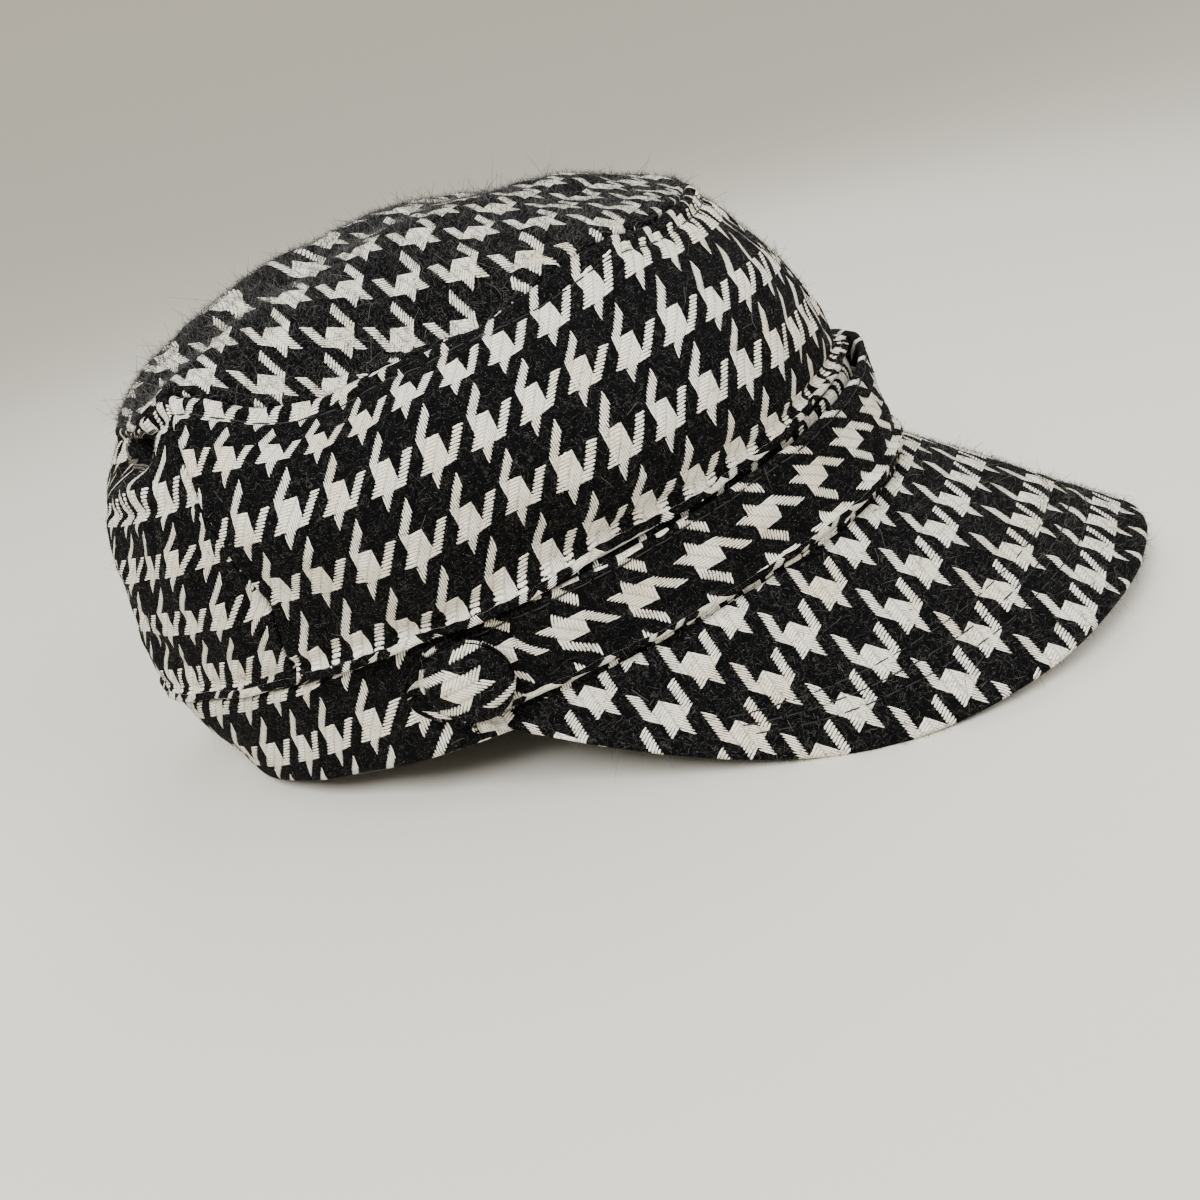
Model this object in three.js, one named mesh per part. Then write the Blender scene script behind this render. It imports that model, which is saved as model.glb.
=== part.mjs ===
// A soft wool peaked cap: a crown of side, back and top panels on an upright headband, a stiff
// cloth-covered peak, a decorative strap over the front held by two covered buttons, and a thin
// tape inside the rim. Millimetres. The cap stands on its back rim and the two sides of its peak,
// X forward to the peak, the wearer's right side towards -Y, Z up, the origin under the middle.
//
// The shape is worked out in the cap's own frame, where the rim is level, and then laid down as
// the cap rests: tipped back about Y, lowered a little, and flattened where it meets the surface.

import * as THREE from 'three';
import { mergeVertices } from 'three/addons/utils/BufferGeometryUtils.js';

// Driving dimensions
const CLOTH = 2.0;                // wall of the crown and band: wool cloth with its seam allowance
const TAPE = 0.9;                 // wall of the rim tape
const SEAM_GAP = 0.3;             // gap between pieces that are sewn together
const REAR_SEAM = 119;            // degrees from the front to each rear seam
const STRAP_END = 105;            // degrees from the front to each rounded end of the strap
const STRAP_ROUND = 0.1;          // share of each half of the strap that its rounded end takes
const STRAP_WALL = 2.2;
const STRAP_FLARE = 4.2;          // how far the strap's upper edge stands off at the front
const BUTTON_ANGLE = 95.5;        // degrees from the front to each button
const BUTTON_LEVEL = 0.62;        // up the headband
const BUTTON_RADIUS = 10.5;
const BUTTON_HEIGHT = 6.5;
const PEAK_END = 99;              // degrees from the front to each corner of the peak
const PEAK_ROOT = 0.05;           // level of the peak's root at the front, and what the sides add
const PEAK_ROOT_RISE = 0.15;
const BAND_RISE = 31;             // height of the headband, from level 0 to level 1
const PEAK_WALL = 3.2;            // two layers of cloth on a thin board
const PEAK_CROWN = 1.0;           // how far the peak bows up between its root and its edge
const TAPE_DROP = 1.2;            // how far the tape shows below the headband
const TAPE_ROWS = 3;              // quarters of the headband's height that the tape covers
const REST_PITCH = 10.25;         // degrees that the rim rises to the front when the cap rests
const SETTLE = 1.3;               // how far the cloth flattens where it rests

// Level curves from the rim to the middle of the top. Each is an egg-shaped loop: its front, back,
// half width, the place along X where it is widest, and its height at the front, sides and back.
const LEVELS = [
  { at: 0.0, front: 89.5, back: -119, half: 76, widest: -18, zFront: 0, zSide: -6, zBack: -9 },
  { at: 1.0, front: 83, back: -129, half: 79, widest: -15, zFront: 31, zSide: 25, zBack: 19 },
  { at: 1.6, front: 81, back: -125, half: 89, widest: -10, zFront: 43, zSide: 43, zBack: 44 },
  { at: 2.3, front: 77.5, back: -120, half: 93, widest: -12, zFront: 56, zSide: 59, zBack: 60 },
  { at: 3.0, front: 72, back: -113, half: 86, widest: -18, zFront: 67, zSide: 73, zBack: 77 },
  { at: 3.6, front: 60, back: -102, half: 71, widest: -26, zFront: 85, zSide: 83, zBack: 91 },
  { at: 4.2, front: 50, back: -86, half: 57, widest: -21, zFront: 91, zSide: 95, zBack: 101 },
  { at: 4.9, front: 27, back: -50, half: 30, widest: -12, zFront: 100, zSide: 105, zBack: 109 },
  { at: 5.6, front: -12, back: -12, half: 0, widest: -12, zFront: 110, zSide: 110, zBack: 110 },
];
const RIM = 0.0;
const BAND_SEAM = 1.0;
const TOP_SEAM = 3.6;
const TOP_MIDDLE = 5.6;

// Folds and dents of the soft crown: where each lies (level, degrees from the front, right side
// positive), how far it spreads both ways, how far it pushes the cloth in and how far it lifts it.
const FOLDS = [
  { at: 3.6, angle: 119, tall: 0.5, wide: 13, push: 0, lift: 9 },       // corner at the right rear
  { at: 3.6, angle: -119, tall: 0.5, wide: 13, push: 0, lift: 7 },      // corner at the left rear
  { at: 3.3, angle: 147, tall: 0.22, wide: 13, push: 12, lift: 0 },     // deep pit, right rear
  { at: 3.3, angle: -147, tall: 0.22, wide: 13, push: 7, lift: 0 },     // pit, left rear
  { at: 3.95, angle: 72, tall: 0.2, wide: 17, push: 0, lift: -4.5 },    // sunk beside the right seam
  { at: 3.95, angle: -72, tall: 0.2, wide: 17, push: 0, lift: -3 },     // sunk beside the left seam
  { at: 3.6, angle: 46, tall: 0.4, wide: 12, push: -1, lift: 3 },       // seam lifted, right front
  { at: 2.7, angle: 66, tall: 0.35, wide: 14, push: 2, lift: 0 },       // slack of the right side
];

// The peak's outer edge on one side, from its middle (0) to its corner (1).
const PEAK_EDGE = [
  { at: 0.0, x: 148.5, side: 0, z: -47.5 },
  { at: 0.15, x: 139, side: 27, z: -46 },
  { at: 0.32, x: 121.5, side: 53, z: -42.5 },
  { at: 0.48, x: 99.5, side: 72, z: -41.5 },
  { at: 0.62, x: 73, side: 83, z: -40.5 },
  { at: 0.74, x: 49, side: 85.5, z: -38 },
  { at: 0.85, x: 23, side: 85, z: -29.5 },
  { at: 0.94, x: -2, side: 83, z: -17 },
  { at: 1.0, x: -22, side: 80.5, z: -5 },
];
const mirrored = ({ at, x, side, z }) => ({ at: -at, x, side: -side, z });
const PEAK_OUTLINE = [...PEAK_EDGE.slice(1).reverse().map(mirrored), ...PEAK_EDGE];

const radians = (degrees) => degrees * Math.PI / 180;

// A column of a table read at any place: a smooth curve through its rows, whose slope at each
// row is that of the line between the rows beside it.
function readTable(table, column, at) {
  let i = 0;
  while (i < table.length - 2 && at > table[i + 1].at) i += 1;
  const slope = (k) => {
    const a = table[Math.max(k - 1, 0)];
    const b = table[Math.min(k + 1, table.length - 1)];
    return (b[column] - a[column]) / (b.at - a.at);
  };
  const a = table[i];
  const b = table[i + 1];
  const span = b.at - a.at;
  const t = (at - a.at) / span;
  const t2 = t * t;
  const t3 = t2 * t;
  return a[column] * (2 * t3 - 3 * t2 + 1) + slope(i) * span * (t3 - 2 * t2 + t)
    + b[column] * (3 * t2 - 2 * t3) + slope(i + 1) * span * (t3 - t2);
}

// A point of the crown's or headband's outer face at a level and an angle from the front.
function crownPoint(level, degrees) {
  const read = (column) => readTable(LEVELS, column, level);
  const c = Math.cos(radians(degrees));
  const s = Math.sin(radians(degrees));
  const middle = (read('front') + read('back')) / 2;
  const reach = (read('front') - read('back')) / 2;
  const zEnds = (read('zFront') + read('zBack')) / 2;
  const zLean = (read('zFront') - read('zBack')) / 2;
  let x = middle + reach * c + (read('widest') - middle) * s * s;
  let y = -read('half') * s;
  let z = read('zSide') + zLean * c + (zEnds - read('zSide')) * c * c;
  for (const fold of FOLDS) {
    const turn = THREE.MathUtils.euclideanModulo(degrees - fold.angle + 180, 360) - 180;
    const amount = Math.exp(-(((level - fold.at) / fold.tall) ** 2) - (turn / fold.wide) ** 2);
    const out = Math.hypot(x - middle, y) || 1;
    x -= fold.push * amount * (x - middle) / out;
    y -= fold.push * amount * y / out;
    z += fold.lift * amount;
  }
  return new THREE.Vector3(x, y, z);
}

// The direction straight out of the crown's face, from the slopes along and across it.
function crownNormal(level, degrees) {
  if (level > TOP_MIDDLE - 0.02) return new THREE.Vector3(0, 0, 1);
  const low = Math.max(level - 0.1, RIM);
  const high = Math.min(level + 0.1, TOP_MIDDLE);
  const up = crownPoint(high, degrees).sub(crownPoint(low, degrees));
  const round = crownPoint(level, degrees + 2).sub(crownPoint(level, degrees - 2));
  return up.cross(round).normalize();
}

function pushed(level, degrees, distance) {
  return crownPoint(level, degrees).addScaledVector(crownNormal(level, degrees), distance);
}

// The level that the peak's root and the strap's lower edge follow on the headband.
function rootLevel(degrees) {
  return PEAK_ROOT + PEAK_ROOT_RISE * Math.sin(radians(degrees)) ** 2;
}

// The peak's face: from its root on the headband (v = 0) to its outer edge (v = 1), and from its
// right corner (u = 1) to its left one (u = -1). The upper face has a depth of 0. The lower one
// starts as much lower on the headband as the peak is thick, so that it meets the band squarely.
function peakPoint(u, v, depth = 0) {
  const degrees = u * PEAK_END;
  const root = pushed(rootLevel(degrees) - depth / BAND_RISE, degrees, SEAM_GAP);
  const read = (column) => readTable(PEAK_OUTLINE, column, u);
  const edge = new THREE.Vector3(read('x'), -read('side'), read('z'));
  if (depth > 0) edge.addScaledVector(peakNormal(u), -depth);
  const point = root.lerp(edge, v);
  point.z += PEAK_CROWN * 4 * v * (1 - v);
  return point;
}

// The peak is as thick all along a line from root to edge, so its normal is read half way out.
// The corners, where root and edge run together, take the normal from just inside them.
function peakNormal(u) {
  const step = 0.02;
  const at = THREE.MathUtils.clamp(u, -0.9, 0.9);
  const across = peakPoint(at + step, 0.5).sub(peakPoint(at - step, 0.5));
  const outward = peakPoint(at, 0.6).sub(peakPoint(at, 0.4));
  return across.cross(outward).normalize();
}

// The strap's outer face: u from its left end (-1) to its right end (1), w from its lower (-1) to
// its upper edge (1). Each end is round: the strap narrows to a point over its own half width.
function strapPlace(u, w) {
  const degrees = u * STRAP_END;
  const into = Math.max(0, (Math.abs(u) - (1 - STRAP_ROUND)) / STRAP_ROUND);
  const width = Math.sqrt(Math.max(1 - into * into, 0.01));
  const low = rootLevel(degrees) + 0.03;
  const high = 0.98;
  return { level: (low + high) / 2 + (high - low) / 2 * w * width, degrees };
}

function strapPoint(u, w, depth) {
  const { level, degrees } = strapPlace(u, w);
  const front = Math.max(Math.cos(radians(degrees)), 0) ** 2;
  const stand = STRAP_FLARE * front * ((w + 1) / 2) ** 1.5;
  return pushed(level, degrees, SEAM_GAP + stand + depth);
}

// The cap as it rests: tipped back, lowered to its flattened footing, and set over the origin.
const tip = new THREE.Matrix4().makeRotationY(radians(-REST_PITCH));
const rest = { lift: 0, shift: 0 };
function laidDown(point) {
  const p = point.clone().applyMatrix4(tip);
  return new THREE.Vector3(p.x + rest.shift, p.y, Math.max(p.z + rest.lift, 0));
}

// A closed wall from two faces given as grids of points: the outer one seen from outside runs
// along u and then v. A looped grid closes on itself in u.
function wall(outer, inner, looped) {
  const rows = outer.length;
  const columns = outer[0].length;
  const points = [...outer.flat(), ...inner.flat()].map(laidDown);
  const index = [];
  const outerAt = (j, i) => j * columns + (i % columns);
  const innerAt = (j, i) => rows * columns + outerAt(j, i);
  const quad = (a, b, c, d) => index.push(a, b, c, a, c, d);
  const lastColumn = looped ? columns : columns - 1;
  for (let j = 0; j < rows - 1; j += 1) {
    for (let i = 0; i < lastColumn; i += 1) {
      quad(outerAt(j, i), outerAt(j, i + 1), outerAt(j + 1, i + 1), outerAt(j + 1, i));
      quad(innerAt(j, i), innerAt(j + 1, i), innerAt(j + 1, i + 1), innerAt(j, i + 1));
    }
    if (!looped) {
      quad(outerAt(j, 0), outerAt(j + 1, 0), innerAt(j + 1, 0), innerAt(j, 0));
      const end = columns - 1;
      quad(outerAt(j, end), innerAt(j, end), innerAt(j + 1, end), outerAt(j + 1, end));
    }
  }
  for (let i = 0; i < lastColumn; i += 1) {
    quad(outerAt(0, i), innerAt(0, i), innerAt(0, i + 1), outerAt(0, i + 1));
    const top = rows - 1;
    quad(outerAt(top, i), outerAt(top, i + 1), innerAt(top, i + 1), innerAt(top, i));
  }
  return closedGeometry(points, index);
}

// Points and triangles made one closed body: doubled points joined, empty triangles dropped, and
// the faces turned outwards if they all point in.
function closedGeometry(points, index) {
  const raw = new THREE.BufferGeometry();
  raw.setAttribute('position', new THREE.Float32BufferAttribute(points.flatMap((p) => p.toArray()), 3));
  raw.setIndex(index);
  const merged = mergeVertices(raw, 1e-3);
  const at = (k) => new THREE.Vector3().fromBufferAttribute(merged.attributes.position, k);
  const kept = [];
  let volume = 0;
  for (let k = 0; k < merged.index.count; k += 3) {
    const [a, b, c] = [0, 1, 2].map((n) => merged.index.getX(k + n));
    if (a === b || b === c || c === a) continue;
    kept.push([a, b, c]);
    volume += at(a).dot(at(b).cross(at(c)));
  }
  merged.setIndex(kept.flatMap(([a, b, c]) => (volume < 0 ? [a, c, b] : [a, b, c])));
  merged.computeVertexNormals();
  return merged;
}

function grid(rows, columns, pointAt, looped = false) {
  const last = looped ? columns : columns - 1;
  return Array.from({ length: rows }, (_, j) => Array.from({ length: columns },
    (_, i) => pointAt(i / last, j / (rows - 1))));
}

// A panel of the crown between two angles and two levels.
function crownPanel({ from, to, low, high, rows, columns, looped = false, thickness = CLOTH, set = 0 }) {
  const place = (u, v) => [low + (high - low) * v, from + (to - from) * u];
  const outer = grid(rows, columns, (u, v) => pushed(...place(u, v), set), looped);
  const inner = grid(rows, columns, (u, v) => pushed(...place(u, v), set - thickness), looped);
  return wall(outer, inner, looped);
}

const HALF_GAP = 0.11;            // half a seam's gap in degrees round the crown
const LEVEL_GAP = 0.013;          // half a seam's gap in levels up the crown

function sidePanel(side) {
  return crownPanel({
    from: side * HALF_GAP, to: side * (REAR_SEAM - HALF_GAP),
    low: BAND_SEAM + LEVEL_GAP, high: TOP_SEAM - LEVEL_GAP, rows: 14, columns: 25,
  });
}

function backPanel() {
  return crownPanel({
    from: REAR_SEAM + HALF_GAP, to: 360 - REAR_SEAM - HALF_GAP,
    low: BAND_SEAM + LEVEL_GAP, high: TOP_SEAM - LEVEL_GAP, rows: 14, columns: 25,
  });
}

function topPanel() {
  return crownPanel({
    from: 0, to: 360, low: TOP_SEAM + LEVEL_GAP, high: TOP_MIDDLE, rows: 10, columns: 60, looped: true,
  });
}

function headband() {
  return crownPanel({
    from: 0, to: 360, low: RIM, high: BAND_SEAM - LEVEL_GAP, rows: 5, columns: 64, looped: true,
  });
}

// The tape lies inside the headband, on its three lower rows of faces, and drops below it a little.
function sweatband() {
  const row = (BAND_SEAM - LEVEL_GAP) / 4;
  const levels = [-TAPE_DROP / BAND_RISE, row, 2 * row, TAPE_ROWS * row];
  const face = (set) => grid(levels.length, 64, (u, v) => pushed(
    levels[Math.round(v * (levels.length - 1))], 360 * u, set), true);
  const set = -CLOTH - SEAM_GAP;
  return wall(face(set), face(set - TAPE), true);
}

// Stations along the strap: even over its length, and closing up round each end.
function strapStations() {
  const straight = 1 - STRAP_ROUND;
  const bend = [1, 2, 3, 4, 5, 6].map((k) => straight + STRAP_ROUND * Math.sin(k * Math.PI / 12));
  const even = Array.from({ length: 33 }, (_, k) => straight * (k / 16 - 1));
  return [...bend.map((u) => -u).reverse(), ...even, ...bend];
}

function frontStrap() {
  const stations = strapStations();
  const face = (depth) => grid(5, stations.length, (u, v) => strapPoint(
    stations[Math.round(u * (stations.length - 1))], 2 * v - 1, depth));
  return wall(face(STRAP_WALL), face(0), false);
}

function peak() {
  const face = (depth) => grid(8, 45, (u, v) => peakPoint(2 * u - 1, v, depth));
  return wall(face(0), face(PEAK_WALL), false);
}

// A covered button: a dome with a rolled rim on a flat back, its axis straight out of the strap.
function button(side) {
  const seat = STRAP_WALL + 3 * SEAM_GAP;
  const centre = pushed(BUTTON_LEVEL, side * BUTTON_ANGLE, seat);
  const axis = crownNormal(BUTTON_LEVEL, side * BUTTON_ANGLE);
  const profile = [[0, 0], [0.8, 0], [0.97, 0.2], [1, 0.42], [0.93, 0.66], [0.72, 0.88], [0.4, 0.98], [0, 1]]
    .map(([r, h]) => new THREE.Vector2(r * BUTTON_RADIUS, h * BUTTON_HEIGHT));
  const lathe = new THREE.LatheGeometry(profile, 20);
  lathe.deleteAttribute('normal');
  lathe.deleteAttribute('uv');
  const merged = mergeVertices(lathe, 1e-3);
  const turn = new THREE.Quaternion().setFromUnitVectors(new THREE.Vector3(0, 1, 0), axis);
  const position = merged.attributes.position;
  const points = Array.from({ length: position.count }, (_, k) => laidDown(
    new THREE.Vector3().fromBufferAttribute(position, k).applyQuaternion(turn).add(centre)));
  return closedGeometry(points, [...merged.index.array]);
}

// Where the cap settles: its lowest points are the rim's back and the peak's sides.
function footing() {
  const low = [];
  const reachX = [];
  for (let k = 0; k <= 120; k += 1) {
    const tapeEdge = pushed(-TAPE_DROP / BAND_RISE, 180 + k / 2, -CLOTH);
    const edge = peakPoint(k / 120, 1, PEAK_WALL);
    const back = crownPoint(BAND_SEAM + 0.4, 180 + k / 2);
    for (const p of [tapeEdge, edge]) low.push(p.applyMatrix4(tip).z);
    for (const p of [peakPoint(k / 120, 1), back]) reachX.push(p.applyMatrix4(tip).x);
  }
  rest.lift = -Math.min(...low) - SETTLE;
  rest.shift = -(Math.max(...reachX) + Math.min(...reachX)) / 2;
}
footing();

const houndstooth = { color: 0x8d8a82, roughness: 0.95, metalness: 0 };
const blackTape = { color: 0x131315, roughness: 0.8, metalness: 0 };

const hat = new THREE.Group();
function add(name, geometry, finish) {
  const mesh = new THREE.Mesh(geometry, new THREE.MeshStandardMaterial(finish));
  mesh.name = name;
  hat.add(mesh);
}
add('crown_top', topPanel(), houndstooth);
add('crown_side_right', sidePanel(1), houndstooth);
add('crown_side_left', sidePanel(-1), houndstooth);
add('crown_back', backPanel(), houndstooth);
add('headband', headband(), houndstooth);
add('front_strap', frontStrap(), houndstooth);
add('peak', peak(), houndstooth);
add('button_right', button(1), houndstooth);
add('button_left', button(-1), houndstooth);
add('sweatband', sweatband(), blackTape);

export default hat;
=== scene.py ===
"""A soft wool peaked cap in black and cream houndstooth, at rest on its back rim and its peak.

Every length below is in millimetres and is turned to metres as a mesh is made. The cap's own
frame has its rim level, X forward, the wearer's right side towards -Y and Z up. A point is laid
down into the frame's place, tipped back and lowered onto the surface, as its mesh is made.
"""
import bpy
import numpy as np
from mathutils import Matrix


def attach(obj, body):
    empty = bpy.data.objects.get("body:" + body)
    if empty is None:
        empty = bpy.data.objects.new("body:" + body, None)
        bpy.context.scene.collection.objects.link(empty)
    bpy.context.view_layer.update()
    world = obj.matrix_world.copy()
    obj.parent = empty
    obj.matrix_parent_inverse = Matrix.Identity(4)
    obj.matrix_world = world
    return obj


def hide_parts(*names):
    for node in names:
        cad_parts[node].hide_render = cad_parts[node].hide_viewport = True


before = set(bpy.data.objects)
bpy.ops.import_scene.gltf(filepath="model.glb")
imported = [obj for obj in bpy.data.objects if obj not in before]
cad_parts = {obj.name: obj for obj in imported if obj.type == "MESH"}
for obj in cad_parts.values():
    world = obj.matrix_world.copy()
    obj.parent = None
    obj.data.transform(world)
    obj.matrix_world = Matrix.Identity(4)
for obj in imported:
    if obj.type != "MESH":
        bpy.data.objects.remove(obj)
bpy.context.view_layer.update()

# The headband
# An upright band of wool cloth 31 mm high round the head, turned in at its lower edge and sewn
# to the crown at its upper one. The same cloth makes every outer piece of the cap.

MM = 0.001
THREADS = 24                      # threads in one repeat of the check
CLOTH = 2.0                       # thickness of the cloth
BAND_HEIGHT = 30.1
REST_PITCH = np.radians(10.25)    # how far the rim rises to the front as the cap rests
LIFT = 28.837                     # how far the middle of the rim is above the surface
SHIFT = -11.674                   # and how far it is moved, so that the cap's outline is centred

# Level curves from the rim to the middle of the top: each an egg-shaped loop.
# level, front, back, half width, place of the greatest width, height in front, at the sides, behind
LEVELS = np.array([
    [0.0, 89.5, -119, 76, -18, 0, -6, -9],
    [1.0, 83, -129, 79, -15, 31, 25, 19],
    [1.6, 81, -125, 89, -10, 43, 43, 44],
    [2.3, 77.5, -120, 93, -12, 56, 59, 60],
    [3.0, 72, -113, 86, -18, 67, 73, 77],
    [3.6, 60, -102, 71, -26, 85, 83, 91],
    [4.2, 50, -86, 57, -21, 91, 95, 101],
    [4.9, 27, -50, 30, -12, 100, 105, 109],
    [5.6, -12, -12, 0, -12, 110, 110, 110],
])
TOP_SEAM = 3.6
TOP_MIDDLE = 5.6

# Folds and dents of the soft crown.
# level, degrees from the front (right side positive), spread in levels, in degrees, push in, lift
FOLDS = np.array([
    [3.6, 119, 0.5, 13, 0, 9],        # corner at the right rear
    [3.6, -119, 0.5, 13, 0, 7],       # corner at the left rear
    [3.3, 147, 0.22, 13, 12, 0],      # deep pit, right rear
    [3.3, -147, 0.22, 13, 7, 0],      # pit, left rear
    [3.95, 72, 0.2, 17, 0, -4.5],     # sunk beside the right seam
    [3.95, -72, 0.2, 17, 0, -3],      # sunk beside the left seam
    [3.6, 46, 0.4, 12, -1, 3],        # seam lifted, right front
    [2.7, 66, 0.35, 14, 2, 0],        # slack of the right side
])


def read_table(table, at):
    """Every column of a table at any places: a smooth curve through its rows, whose slope at each
    row is that of the line between the rows beside it."""
    place, value = table[:, 0], table[:, 1:]
    before = np.maximum(np.arange(len(place)) - 1, 0)
    after = np.minimum(np.arange(len(place)) + 1, len(place) - 1)
    slope = (value[after] - value[before]) / (place[after] - place[before])[:, None]
    i = np.clip(np.searchsorted(place, at) - 1, 0, len(place) - 2)
    span = (place[i + 1] - place[i])[..., None]
    t = (at - place[i])[..., None] / span
    return (value[i] * (2 * t**3 - 3 * t**2 + 1) + slope[i] * span * (t**3 - 2 * t**2 + t)
            + value[i + 1] * (3 * t**2 - 2 * t**3) + slope[i + 1] * span * (t**3 - t**2))


def crown_point(level, degrees):
    """A point of the crown's or headband's outer face: an egg-shaped loop read at its level, its
    width moved forward or back by the square of the sine, then each fold as a soft bell."""
    level, degrees = np.broadcast_arrays(np.asarray(level, float), np.asarray(degrees, float))
    front, back, half, widest, z_front, z_side, z_back = np.moveaxis(read_table(LEVELS, level), -1, 0)
    c, s = np.cos(np.radians(degrees)), np.sin(np.radians(degrees))
    middle = (front + back) / 2
    x = middle + (front - back) / 2 * c + (widest - middle) * s * s
    y = -half * s
    z = z_side + (z_front - z_back) / 2 * c + ((z_front + z_back) / 2 - z_side) * c * c
    for at, angle, tall, wide, push, lift in FOLDS:
        turn = (degrees - angle + 180) % 360 - 180
        amount = np.exp(-((level - at) / tall) ** 2 - (turn / wide) ** 2)
        reach = np.maximum(np.hypot(x - middle, y), 1e-9)
        x, y = x - push * amount * (x - middle) / reach, y - push * amount * y / reach
        z = z + lift * amount
    return np.stack([x, y, z], -1)


def crown_normal(level, degrees):
    """The direction straight out of the crown's face: its slope up the crown across its slope round
    it, and straight up at the middle of the top."""
    level, degrees = np.broadcast_arrays(np.asarray(level, float), np.asarray(degrees, float))
    low, high = np.maximum(level - 0.1, 0.0), np.minimum(level + 0.1, TOP_MIDDLE)
    up = crown_point(high, degrees) - crown_point(low, degrees)
    across = crown_point(level, degrees + 2) - crown_point(level, degrees - 2)
    normal = np.cross(up, across)
    normal[level > TOP_MIDDLE - 0.02] = (0, 0, 1)
    return normal / np.linalg.norm(normal, axis=-1, keepdims=True)


def pushed(level, degrees, out):
    return crown_point(level, degrees) + crown_normal(level, degrees) * np.asarray(out)[..., None]


def laid_down(point):
    """A point of the cap's own frame where the cap rests: tipped back, lowered, and flattened where
    the cloth meets the surface."""
    c, s = np.cos(REST_PITCH), np.sin(REST_PITCH)
    x = point[..., 0] * c - point[..., 2] * s + SHIFT
    z = np.maximum(point[..., 0] * s + point[..., 2] * c + LIFT, 0)
    return np.stack([x, point[..., 1], z], -1)


def length_along(points):
    """The distance from the first point to each point of a row of them."""
    return np.concatenate([[0], np.cumsum(np.linalg.norm(np.diff(points, axis=0), axis=-1))])


def stations(length, step, turn):
    """Distances along a length: crowded on a quarter circle over the first and last `turn`, where
    an edge is rounded, and about a step apart between."""
    bend = turn * (1 - np.cos(np.linspace(0, np.pi / 2, 6)))
    count = max(int((length - 2 * turn) / step), 2)
    between = np.linspace(turn, length - turn, count + 1)[1:-1]
    return np.concatenate([bend, between, length - bend[::-1]])


def rounded(edge, turn):
    """The share of a wall's thickness at a distance from its edge: a quarter circle, then 1."""
    return np.sqrt(1 - (1 - np.clip(edge / turn, 0, 1)) ** 2)


def bell(distance, place, width, height):
    return height * np.exp(-((distance - place) / width) ** 2)


def slack(points, wave, seed):
    """Soft unevenness of about 1 either way: the sum of twelve waves in random directions."""
    rng = np.random.default_rng(seed)
    way = rng.normal(size=(3, 12))
    way *= 2 * np.pi / wave / np.linalg.norm(way, axis=0) * rng.uniform(0.6, 1.4, 12)
    return np.sin(points @ way + rng.uniform(0, 2 * np.pi, 12)).sum(-1) / 2.5


def thread_numbers(along, down, lay, quarter=0):
    """The numbers of the warp and weft threads at places on a piece, given in mm as seen from
    outside. The lay has the check's repeat across and up, the corner of one light square, and how
    the cloth is eased away from straight: the shares of the squares and cubes of the distances from
    a centre, which level off at a reach.
    A quarter of 1 or -1 turns the cloth that way on the piece."""
    x = lay["reach"] * np.tanh((along - lay["centre"][0]) / lay["reach"])
    y = lay["reach"] * np.tanh((down - lay["centre"][1]) / lay["reach"])
    eased = np.stack([x * x, x * y, y * y, x**3 / 50, x * x * y / 50, x * y * y / 50, y**3 / 50], -1)
    place = np.stack([along - lay["corner"][0] + eased @ np.array(lay["ease_along"]),
                      down - lay["corner"][1] + eased @ np.array(lay["ease_down"])], -1)
    across = np.linalg.inv(np.array([lay["across"], lay["up"]]))
    warp, weft = np.moveaxis(THREADS * place @ across, -1, 0)
    if quarter == 1:
        warp, weft = THREADS / 2 - weft, warp
    if quarter == -1:
        warp, weft = weft, THREADS / 2 - warp
    return np.stack([warp, weft], -1)


ROLL_BAR = 15.0                   # from one dark bar across a seam's roll to the next


def roll_weave(threads, along, from_edge, width):
    """The thread numbers with a seam's roll put in: within a width of the sewn edge the cloth is
    drawn round, so that its light yarns lie along the roll, wander in waves, and cross dark bars."""
    on_roll = from_edge < width
    warp = 6.0 + 9.0 * from_edge / width + 6.5 * np.sin(along / 6.5)
    weft = THREADS * (along + 1.2 * from_edge) / ROLL_BAR + 2.2 * np.sin(along / 9)
    return np.where(on_roll[..., None], np.stack([warp, weft], -1), threads)


def closed_mesh(name, outer, inner, share, threads, looped=False):
    """A closed wall between two faces, each a grid of points. Their points are drawn together to
    the share of the thickness at each, and where it is 0 the faces join. Points in the same place
    become one, and the mesh is turned so that its faces point outwards."""
    middle, half = (outer + inner) / 2, (outer - inner) / 2 * share[..., None]
    points = laid_down(np.stack([middle + half, middle - half])) * MM
    number = np.arange(points[..., 0].size).reshape(points.shape[:-1])
    if looped:
        number = np.concatenate([number, number[:, :, :1]], axis=2)
    threads = np.stack([threads, threads])
    corners = []
    for grid in (number[..., None], threads):
        square = np.stack([grid[:, :-1, :-1], grid[:, :-1, 1:], grid[:, 1:, 1:], grid[:, 1:, :-1]], -2)
        square[1] = square[1][..., ::-1, :]
        square = square.reshape(-1, 4, grid.shape[-1])[:, [0, 1, 2, 0, 2, 3]]
        corners.append(square.reshape(-1, 3, grid.shape[-1]))
    flat = points.reshape(-1, 3)
    _, first, same = np.unique(np.round(flat * 1e7).astype(np.int64), axis=0, return_index=True,
                               return_inverse=True)
    triangles, weave = same.reshape(-1)[corners[0][..., 0]], corners[1]
    real = ((triangles[:, 0] != triangles[:, 1]) & (triangles[:, 1] != triangles[:, 2])
            & (triangles[:, 2] != triangles[:, 0]))
    triangles, weave, flat = triangles[real], weave[real], flat[first]
    a, b, c = np.moveaxis(flat[triangles], 1, 0)
    if (a * np.cross(b, c)).sum() < 0:
        triangles, weave = triangles[:, ::-1], weave[:, ::-1]
    return plain_mesh(name, flat, triangles, weave), points[0]


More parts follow.
